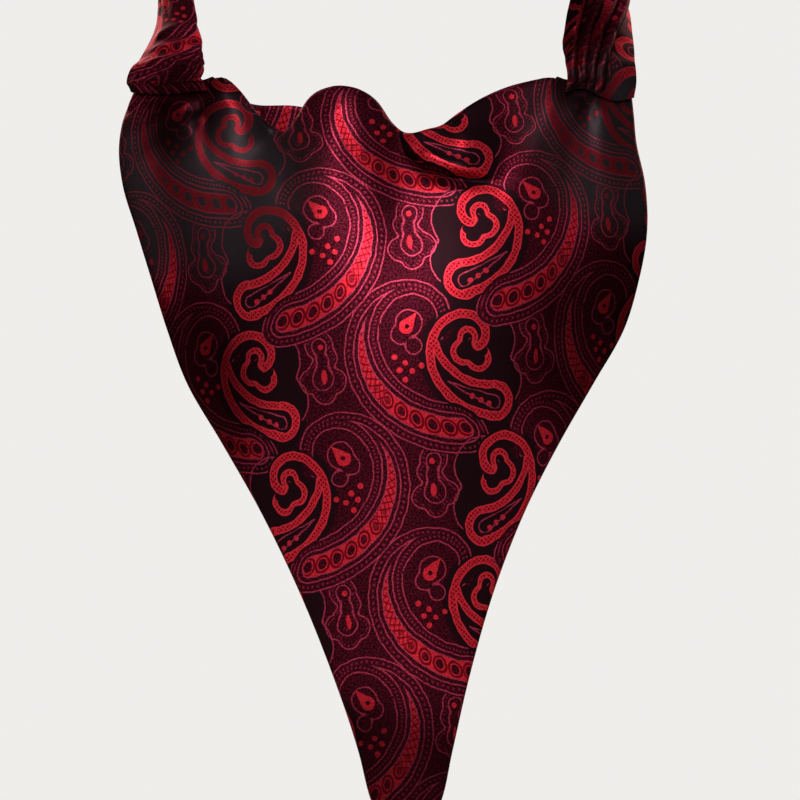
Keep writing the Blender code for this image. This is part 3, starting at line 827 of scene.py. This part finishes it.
def drop(point, start, end, sizes):
    """A drop between two points, with its radius at each of them."""
    run = (end[0] - start[0], end[1] - start[1], 0)
    reach = vector_work("SUBTRACT", point, (*start, 0))
    share = ramp(vector_work("DOT_PRODUCT", reach, run), 0, run[0] ** 2 + run[1] ** 2)
    axis = vector(share * run[0], share * run[1])
    radius = work("MULTIPLY_ADD", share, sizes[1] - sizes[0], sizes[0])
    return vector_work("DISTANCE", reach, axis) - radius


def merged(point, discs, neck, grown=0):
    """Discs run together, with a soft neck where they meet, and each grown by the same amount."""
    grown_discs = [away(point, x, y) - (radius + grown) for x, y, radius in discs]
    return reduce(lambda total, disc: work("SMOOTH_MIN", total, disc, neck), grown_discs)


def bitten(point, shape, bite):
    """A shape without a disc."""
    x, y, radius = bite
    return most(shape, radius - away(point, x, y))


def new_group(name):
    """An empty group of nodes, and the place on the cloth that it is asked about."""
    tree = bpy.data.node_groups.new(name, "ShaderNodeTree")
    tree.interface.new_socket("Place", in_out="INPUT", socket_type="NodeSocketVector")
    return tree, Term(tree.nodes.new("NodeGroupInput").outputs[0])


def with_outputs(tree, results):
    """The group, with its results as its outputs."""
    finish = tree.nodes.new("NodeGroupOutput")
    for name in results:
        tree.interface.new_socket(name, in_out="OUTPUT", socket_type="NodeSocketFloat")
    fit(finish, results)
    return tree


def outputs_of(node):
    return {socket.name: Term(socket) for socket in node.outputs}


def motif_tree():
    """One paisley with its ribbon and its filler, in millimetres from the curl of its tail."""
    tree, place = new_group("paisley_motif")
    x, y = parts(place)

    # The boteh: a tapered body along a spiral, with outlines inside each other.
    t, radius, across = spiral(x, y, BOTEH, BOTEH_SLOPE, BOTEH_SPLIT)
    run = polynomial(t, [0] + [c / (k + 1) * SWEEP / BOTEH_SLOPE for k, c in enumerate(BOTEH)])
    swell = ramp(t, *BOTEH_SWELLS, smoothly=True)
    width = work("MULTIPLY_ADD", swell, BOTEH_SWELL, BOTEH_THIN) * ramp(t, *BOTEH_TAIL)
    past = most(abs(t - BOTEH_ENDS[0]) - BOTEH_ENDS[1], 0.0) * radius * SWEEP
    body = length(past, across) - width
    heart = body + HEART
    hook = vector_work("SUBTRACT", place, HOOK_CENTRE) * (1 / HOOK_SIZE)
    lines = least(abs(body), abs(body + BORDER), abs(heart))
    lines = most(lines, HOOK_CLEARING - vector_work("LENGTH", hook))
    specks = most(abs(beat(run, SPECK_STEP)), abs(body + BORDER / 2)) - SPECK
    bead = length(beat(run, BEAD_STEP), across)
    bead = bead - work("MULTIPLY_ADD", width, BEAD_SHARE, BEAD_LEAST - BEAD_SHARE * HEART)
    lattice = least(abs(beat(run + across, LATTICE_STEP)), abs(beat(run - across, LATTICE_STEP)))
    marks = least(most(abs(bead) - RING, (RINGS_FROM - t) * ABRUPT),
                  most(lattice - LATTICE_LINE, heart, (t - LATTICE_TO) * ABRUPT))

    # The ribbon, a hook that ends in a trefoil and a fork that curls back, under the boteh.
    hook_x, hook_y = parts(hook)
    hook_t, hook_radius, hook_off = spiral(hook_x, hook_y, HOOK, HOOK_SLOPE, HOOK_SPLIT)
    ends = (abs(hook_t - HOOK_ENDS[0]) - HOOK_ENDS[1]) * hook_radius * SWEEP
    trefoil = most(merged(hook, TREFOIL, TREFOIL_NECKS[0], TREFOIL_HALF),
                   -merged(hook, TREFOIL, TREFOIL_NECKS[1], -TREFOIL_HALF))
    ribbon = least(
        most(abs(hook_off) - RIBBON_HALF, ends),
        most(hoop(hook, *FORK), hook_x - FORK[0][0], hook_y),
        most(hoop(hook, *FORK_CURL), least(CURL_FROM[0] - hook_x, hook_y - CURL_FROM[1])),
        bitten(hook, trefoil, TREFOIL_BITE),
    ) * HOOK_SIZE
    ribbon = most(ribbon, least(RIBBON_GAP - body, (t - RIBBON_OVER) * ABRUPT))

    # The plain pocket behind the trefoil, with an outline on its far side.
    pocket = merged(place, POCKET, POCKET_NECK)
    lines = least(lines, most(abs(pocket), least(POCKET_FROM[0] - x, POCKET_FROM[1] - y)))

    # A drop in the fork with a row of dots, and a bud in the curl with its comma.
    leaf = drop(hook, *LEAF) * HOOK_SIZE
    bud = merged(place, BUD, BUD_NECK)
    lines = least(lines, most(abs(leaf), LEAF_GAP - body), abs(bud))
    comma = bitten(place, drop(place, *COMMA), COMMA_BITE)

    # The lobed filler below, with a second outline inside the first.
    filler = merged(place, FILLER, FILLER_NECKS[0])
    clear = FILLER_CLEAR - body
    filler_lines = least(abs(filler), abs(merged(place, FILLER_CORE, FILLER_NECKS[1])))
    lines = least(lines, most(filler_lines, clear))
    filler_specks = most(abs(beat(x + y, FILLER_SPECK_STEP)), abs(filler + FILLER_SPECK_PLACE),
                         clear) - FILLER_SPECK
    seed = length(x - SEED[0], (y - SEED[1]) * SEED_SHARE) - DOT
    dots = least(*(away(place, *dot) for dot in DOTS)) - DOT
    return with_outputs(tree, {
        "Body": body,
        "Heart": heart,
        "Line": lines - LINE / 2,
        "Ribbon": ribbon,
        "Pocket": pocket,
        "Small": least(comma, dots, seed),
        "Speck": least(specks, filler_specks),
        "Dull": marks,
        "Hole": most(bead + BEAD_RIM, MIDDLES_FROM - t),
    })


def placed_motif(motif, flat_x, flat_y, start, facing):
    """The motif's repeats from one start, facing right with 1 or left with -1."""
    x = work("WRAP", flat_x - start[0], REPEAT_ACROSS / 2, -REPEAT_ACROSS / 2) * facing
    y = work("WRAP", start[1] - flat_y, FILLER_FOOT + REPEAT_DOWN, FILLER_FOOT)
    place = vector(x, y) * (1 / MOTIF_SIZE)
    return outputs_of(added(x.socket.id_data, "Group", {0: place}, node_tree=motif)), x, y


def cloth_tree():
    """The whole repeat: from a place on the flat cloth to how much of each colour shows there."""
    motif = motif_tree()
    tree, place = new_group("paisley_repeat")
    stray = added(tree, "TexNoise", {"Vector": place, "Scale": DRIFT_SCALE}, noise_dimensions="2D")
    place = vector_work("MULTIPLY_ADD", Term(stray.outputs["Color"]), (DRIFT, DRIFT, 0), place)
    flat_x, flat_y = parts(place)
    left, left_x, left_y = placed_motif(motif, flat_x, flat_y, LEFT_START, -1)
    right, _, _ = placed_motif(motif, flat_x, flat_y, RIGHT_START, 1)
    covered = ramp(left["Body"], 0.1, 0.0)
    both = {name: least(left[name], work("MULTIPLY_ADD", covered, FAR, right[name]))
            for name in left}
    shown = {name: ramp(both[name], SOFT_EDGE, -SOFT_EDGE) for name in both}
    ribbon, heart = both["Ribbon"], shown["Heart"]
    clear_of_ribbon = ramp(ribbon, *LINES_FROM)
    hatch = work("SINE", left_x * HATCH) * work("SINE", left_y * HATCH)
    plain = most(ramp(ribbon, *PLAIN_FROM), ramp(both["Pocket"], *POCKET_PLAIN))
    return with_outputs(tree, {
        "Bright": most(heart, shown["Ribbon"], shown["Small"]) * (1.0 - heart * shown["Hole"]),
        "Dull": most(heart * shown["Dull"], ramp(hatch, *HATCH_DARK) * ramp(ribbon, *HATCH_FROM)),
        "Line": shown["Line"] * clear_of_ribbon,
        "Speck": shown["Speck"] * clear_of_ribbon,
        "Rim": shown["Ribbon"] * ramp(abs(ribbon + RIM_PLACE), *RIM_WIDTH),
        "Plain": plain * (1.0 - covered),
    })


def layered(colour, *layers):
    """A colour with others laid over it in turn, each given with the share that it covers."""
    for share, over in layers:
        first, second = (c if isinstance(c, Term) else (*c, 1) for c in (colour, over))
        node = added(share.socket.id_data, "Mix", {0: share, 6: first, 7: second}, data_type="RGBA")
        colour = Term(node.outputs[2])
    return colour


def patches(place, table):
    """How much of a point of the piece lies in any of these round patches, soft at their edges."""
    return most(*(ramp(away(place, *centre), reach, reach * PATCH_CORE, smoothly=True)
                  for centre, reach in table))


def silk(name, colours, start, turn):
    """Paisley silk. start is where its repeat begins, in a Mapping node's own terms."""
    material = bpy.data.materials.new(name)
    material.use_nodes = True
    tree = material.node_tree
    flat = added(tree, "UVMap", uv_map="flat_cloth")
    mapping = added(tree, "Mapping", {
        "Vector": Term(flat.outputs[0]), "Location": (*start, 0), "Rotation": (0, 0, turn),
        "Scale": (1 / MM, 1 / MM, 1),
    })
    place = Term(mapping.outputs[0])
    repeat = bpy.data.node_groups.get("paisley_repeat") or cloth_tree()
    share = outputs_of(added(tree, "Group", {0: place}, node_tree=repeat))
    noise = added(tree, "TexNoise", {"Vector": place, "Scale": colours.speckle, "Detail": 1.0},
                  noise_dimensions="2D")
    grain = Term(noise.outputs["Fac"])

    flat_x, flat_y = parts(place)
    rib = 2 * math.pi / colours.weave
    weave = work("SINE", (flat_x + flat_y) * rib) * work("SINE", (flat_x - flat_y) * rib)
    flecks = ramp(work("MULTIPLY_ADD", grain, FLECK_GRAIN, weave * FLECK_WEAVE), *FLECKS)
    # Round patches on the piece where light is painted into the colour: grey patches of painted
    # sheen, dark patches of painted shade.
    spot = Term(added(tree, "TexCoord").outputs["Object"])
    painted_sheen, dark = patches(spot, PAINTED_SHEEN_PATCHES), patches(spot, PAINTED_SHADE_PATCHES)
    sheen_share = painted_sheen * PAINTED_SHEEN_COVER
    bright = layered(
        colours.red,
        (ramp(grain, *RED_THREADS), colours.red_grain),
        (share["Dull"], colours.red_marks_and_shade),
        (share["Rim"], colours.red_grain),
        # Painted shade: the reds dimmed under the painted sheen.
        (sheen_share, colours.red_marks_and_shade),
    )
    # Painted shade: the lines dim towards the speck colour under the painted sheen.
    line = layered(colours.speck, (ramp(grain, *LINE_THREADS) * (1.0 - sheen_share), colours.line))
    base = layered(
        colours.ground,
        (flecks * (1.0 - share["Plain"]), colours.ground_grain),
        (share["Plain"] * PLAIN_COVER, colours.ground_plain),
        # Painted sheen: the ground painted grey in the sheen patches.
        (sheen_share, colours.ground_painted_sheen),
        (share["Speck"], colours.speck),
        (share["Bright"], bright),
        (share["Line"], line),
        # Painted sheen as a grey veil over the whole print in the sheen patches.
        (painted_sheen * PAINTED_SHEEN_VEIL, colours.ground_painted_sheen),
        # Painted shade: the ground darkened in the dark patches.
        (dark * PAINTED_SHADE_COVER, colours.ground_painted_shade),
    )
    bump = added(tree, "Bump", {
        "Strength": 0.25, "Distance": 0.0001, "Height": work("MULTIPLY_ADD", weave, 0.4, grain),
    })
    pattern = most(share["Bright"], share["Line"])
    fit(tree.nodes["Principled BSDF"], {
        "Base Color": base,
        "Roughness": work("MULTIPLY_ADD", pattern, -0.04, 0.46),
        "Metallic": 0.7,
        "Specular Tint": (0.55, 0.10, 0.13, 1),
        "Specular IOR Level": 0.05,
        "Normal": Term(bump.outputs[0]),
    })
    return material


# --- pieces ---


def seated(piece, node):
    """Declares a finished sheet and lets it stand for its solid."""
    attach(piece, "root")
    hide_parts(node)


def dyed(name, flat_place):
    """Silk whose repeat begins at this place on the flat cloth, in millimetres."""
    turn = choices().cloth.pattern_turn
    x, y = flat_place
    start = (y * math.sin(turn) - x * math.cos(turn), -x * math.sin(turn) - y * math.cos(turn))
    return silk(name, choices().colours, start, turn)


def centred(points, down):
    """Where each point of a plain sheet lies on the flat cloth, from its middle line."""
    across = lengths(points, axis=1)
    return spread(across - across[:, -1:] / 2, down)


class CRAVAT_OT_front_blade(Operator):
    """Makes the front blade: rolled over the tie, folded, and turned back along its sides"""

    bl_idname = "cravat.front_blade"
    bl_label = "Front blade"

    def execute(self, context):
        flat = blade_flat(blade_grid(folded=False))
        piece = cloth("front_blade_silk", blade_grid(folded=True), flat,
                      dyed("blade_silk", PATTERN_START))
        seated(piece, "front_blade")
        return {"FINISHED"}


class CRAVAT_OT_throat_wrap(Operator):
    """Makes the stretch that crosses the throat inside the roll of the front blade"""

    bl_idname = "cravat.throat_wrap"
    bl_label = "Throat wrap"

    def execute(self, context):
        points = wrap_grid(*WRAP_STEPS)
        up = lengths(points[::-1], axis=0)[::-1]
        piece = cloth("throat_wrap_silk", points, centred(points, -up),
                      dyed("wrap_silk", WRAP_PATTERN_START))
        seated(piece, "throat_wrap")
        return {"FINISHED"}


class CRAVAT_OT_under_blade(Operator):
    """Makes the lower blade's end, which hangs behind the front blade"""

    bl_idname = "cravat.under_blade"
    bl_label = "Under blade"

    def execute(self, context):
        points = under_grid(*UNDER_STEPS)
        piece = cloth("under_blade_silk", points, centred(points, lengths(points, axis=0)),
                      dyed("under_silk", UNDER_PATTERN_START))
        seated(piece, "under_blade")
        return {"FINISHED"}


class CRAVAT_OT_neckband(Operator):
    """Makes both halves of the pleated neckband, from the blade's corners to the centre back"""

    bl_idname = "cravat.neckband"
    bl_label = "Neckband"

    def execute(self, context):
        for node, lap, stays in (
            ("neckband_left", LEFT_LAP, LEFT_BAND),
            ("neckband_right", RIGHT_LAP, RIGHT_BAND),
        ):
            side = math.copysign(1, lap[0])
            points, along, hidden = band_grid(lap, stays, *BAND_STEPS)
            from_outside = lengths(points[:, ::-1], axis=1)[:, ::-1]
            across = BAND_OUTER_PLACE - from_outside * PLEAT_GIVE + hidden
            flat = spread(side * across, BAND_START_PLACE - along[:, None])
            piece = cloth(node + "_silk", points, flat,
                          dyed(node + "_cloth", BAND_PATTERN_STARTS[int(side > 0)]),
                          turned=side > 0, thin_rows=THIN_ROWS)
            seated(piece, node)
        return {"FINISHED"}


def set_up(name, data, place, turn):
    """A light or the camera, at its place in the scene and turned its way."""
    item = bpy.data.objects.new(name, data)
    item.location, item.rotation_euler = place, turn
    bpy.context.scene.collection.objects.link(item)
    return item


class CRAVAT_OT_stage(Operator):
    """Makes the pale floor, the soft lights and the camera"""

    bl_idname = "cravat.stage"
    bl_label = "Stage"

    def execute(self, context):
        settings, scene = choices().studio, bpy.context.scene
        bpy.ops.object.select_all(action="DESELECT")
        bpy.ops.mesh.primitive_circle_add(vertices=96, radius=settings.floor_radius,
                                          fill_type="NGON", location=(0, 0, settings.floor_level))
        floor = bpy.context.object
        floor.name = "floor"
        paint = bpy.data.materials.new("floor_paint")
        paint.use_nodes = True
        fit(paint.node_tree.nodes["Principled BSDF"],
            {"Base Color": (*settings.floor_colour, 1), "Roughness": 0.9})
        floor.data.materials.append(paint)

        scene.world = scene.world or bpy.data.worlds.new("studio")
        scene.world.use_nodes = True
        tree = scene.world.node_tree
        tree.nodes.clear()
        level = added(tree, "MapRange", {
            "Value": Term(added(tree, "LightPath").outputs["Is Camera Ray"]),
            "To Min": settings.fill, "To Max": settings.backdrop,
        })
        background = added(tree, "Background", {
            "Color": (1.0, 0.99, 0.97, 1), "Strength": Term(level.outputs["Result"]),
        })
        added(tree, "OutputWorld", {"Surface": Term(background.outputs[0])})

        for name, place, size, power in SOFTBOXES:
            box = bpy.data.lights.new(name, "AREA")
            box.shape = "RECTANGLE"
            box.size, box.size_y = size
            box.energy = power * settings.brightness
            towards = Vector(LIGHTS_AIM) - Vector(place)
            set_up(name, box, place, towards.to_track_quat("-Z", "Y").to_euler())

        lens = bpy.data.cameras.new("camera")
        lens.sensor_width = 36
        lens.lens = CAMERA_LENS
        lens.clip_start = 0.05
        scene.camera = set_up("camera", lens, CAMERA_PLACE, (math.radians(90), 0, 0))
        scene.view_settings.view_transform = "Standard"
        return {"FINISHED"}


# --- settings ---


def number_property(name, description, default, **kind):
    return FloatProperty(name=name, description=description, default=default, **kind)


def length_property(*words):
    return number_property(*words, unit="LENGTH", subtype="DISTANCE", precision=5)


def colour_property(name, description, default):
    return FloatVectorProperty(name=name, description=description, default=default,
                               subtype="COLOR", size=3, min=0, max=1)


class CravatCloth(PropertyGroup):
    wall: length_property("Wall", "Thickness of the folded silk with its interlining", 0.0013)
    pattern_turn: number_property("Pattern turn", "How far the print is turned on the blade",
                                  math.radians(5.5), subtype="ANGLE")


class CravatColours(PropertyGroup):
    ground: colour_property("Ground", "The dark ground of the print", (0.0095, 0.0010, 0.0019))
    # Painted shade: the darkened ground in the dark patches.
    ground_painted_shade: colour_property("Deep ground", "The ground in the deepest folds",
                                 (0.0060, 0.0007, 0.0013))
    ground_grain: colour_property("Ground grain", "Lighter threads in the ground",
                                  (0.094, 0.0072, 0.0175))
    ground_plain: colour_property("Plain ground", "The ground behind the ribbons",
                                  (0.018, 0.0070, 0.0100))
    # Painted sheen: the grey painted on the ground in the sheen patches.
    ground_painted_sheen: colour_property("Dull ground", "The ground where the satin looks grey",
                                 (0.022, 0.017, 0.019))
    speck: colour_property("Speck", "Small dashes between the outlines", (0.22, 0.014, 0.034))
    line: colour_property("Line", "Outlines", (0.42, 0.036, 0.074))
    red: colour_property("Red", "Solid parts of the motifs", (0.47, 0.008, 0.020))
    red_grain: colour_property("Red grain", "Lighter threads in the red", (0.64, 0.030, 0.045))
    # Both the print's dark marks in the red and painted shade on the reds in the sheen patches.
    red_marks_and_shade: colour_property("Dull red", "Marks inside the red parts", (0.14, 0.003, 0.008))
    speckle: number_property("Speckle", "How fine the thread speckle is, per millimetre", 1.6)
    weave: number_property("Weave", "From one rib of the weave to the next, in millimetres", 0.9)


class CravatStudio(PropertyGroup):
    floor_level: length_property("Floor level", "Height of the floor", -0.40)
    floor_radius: length_property("Floor radius", "Radius of the floor", 0.75)
    floor_colour: colour_property("Floor colour", "Paint of the floor", (0.80, 0.79, 0.77))
    brightness: number_property("Brightness", "Scales all the lights", 1.0, min=0)
    fill: number_property("Fill", "Light from all round", 0.022, min=0)
    backdrop: number_property("Backdrop", "How light the background looks", 0.86, min=0)


class CravatSettings(PropertyGroup):
    cloth: PointerProperty(type=CravatCloth, name="Cloth", description="The sheets of silk")
    colours: PointerProperty(type=CravatColours, name="Colours", description="The print")
    studio: PointerProperty(type=CravatStudio, name="Studio",
                            description="Floor, light and camera")


class CRAVAT_PT_panel(Panel):
    """Lists the settings and the pieces of the cravat"""

    bl_idname = "CRAVAT_PT_panel"
    bl_label = "Silk cravat"
    bl_space_type = "VIEW_3D"
    bl_region_type = "UI"
    bl_category = "Silk cravat"

    def draw(self, context):
        layout = self.layout
        for group in ("cloth", "colours", "studio"):
            settings = getattr(context.scene.cravat, group)
            box = layout.box()
            box.label(text=group.capitalize())
            for name in settings.__annotations__:
                box.prop(settings, name)
        for operator in OPERATORS:
            layout.operator(operator.bl_idname)


OPERATORS = (
    CRAVAT_OT_front_blade,
    CRAVAT_OT_throat_wrap,
    CRAVAT_OT_under_blade,
    CRAVAT_OT_neckband,
    CRAVAT_OT_stage,
)
CLASSES = (CravatCloth, CravatColours, CravatStudio, CravatSettings, *OPERATORS, CRAVAT_PT_panel)


def register():
    for kind in CLASSES:
        bpy.utils.register_class(kind)
    bpy.types.Scene.cravat = PointerProperty(type=CravatSettings)


def unregister():
    del bpy.types.Scene.cravat
    for kind in reversed(CLASSES):
        bpy.utils.unregister_class(kind)


def main():
    register()
    bpy.ops.cravat.front_blade()
    bpy.ops.cravat.throat_wrap()
    bpy.ops.cravat.under_blade()
    bpy.ops.cravat.neckband()
    bpy.ops.cravat.stage()


if __name__ == "__main__":
    main()
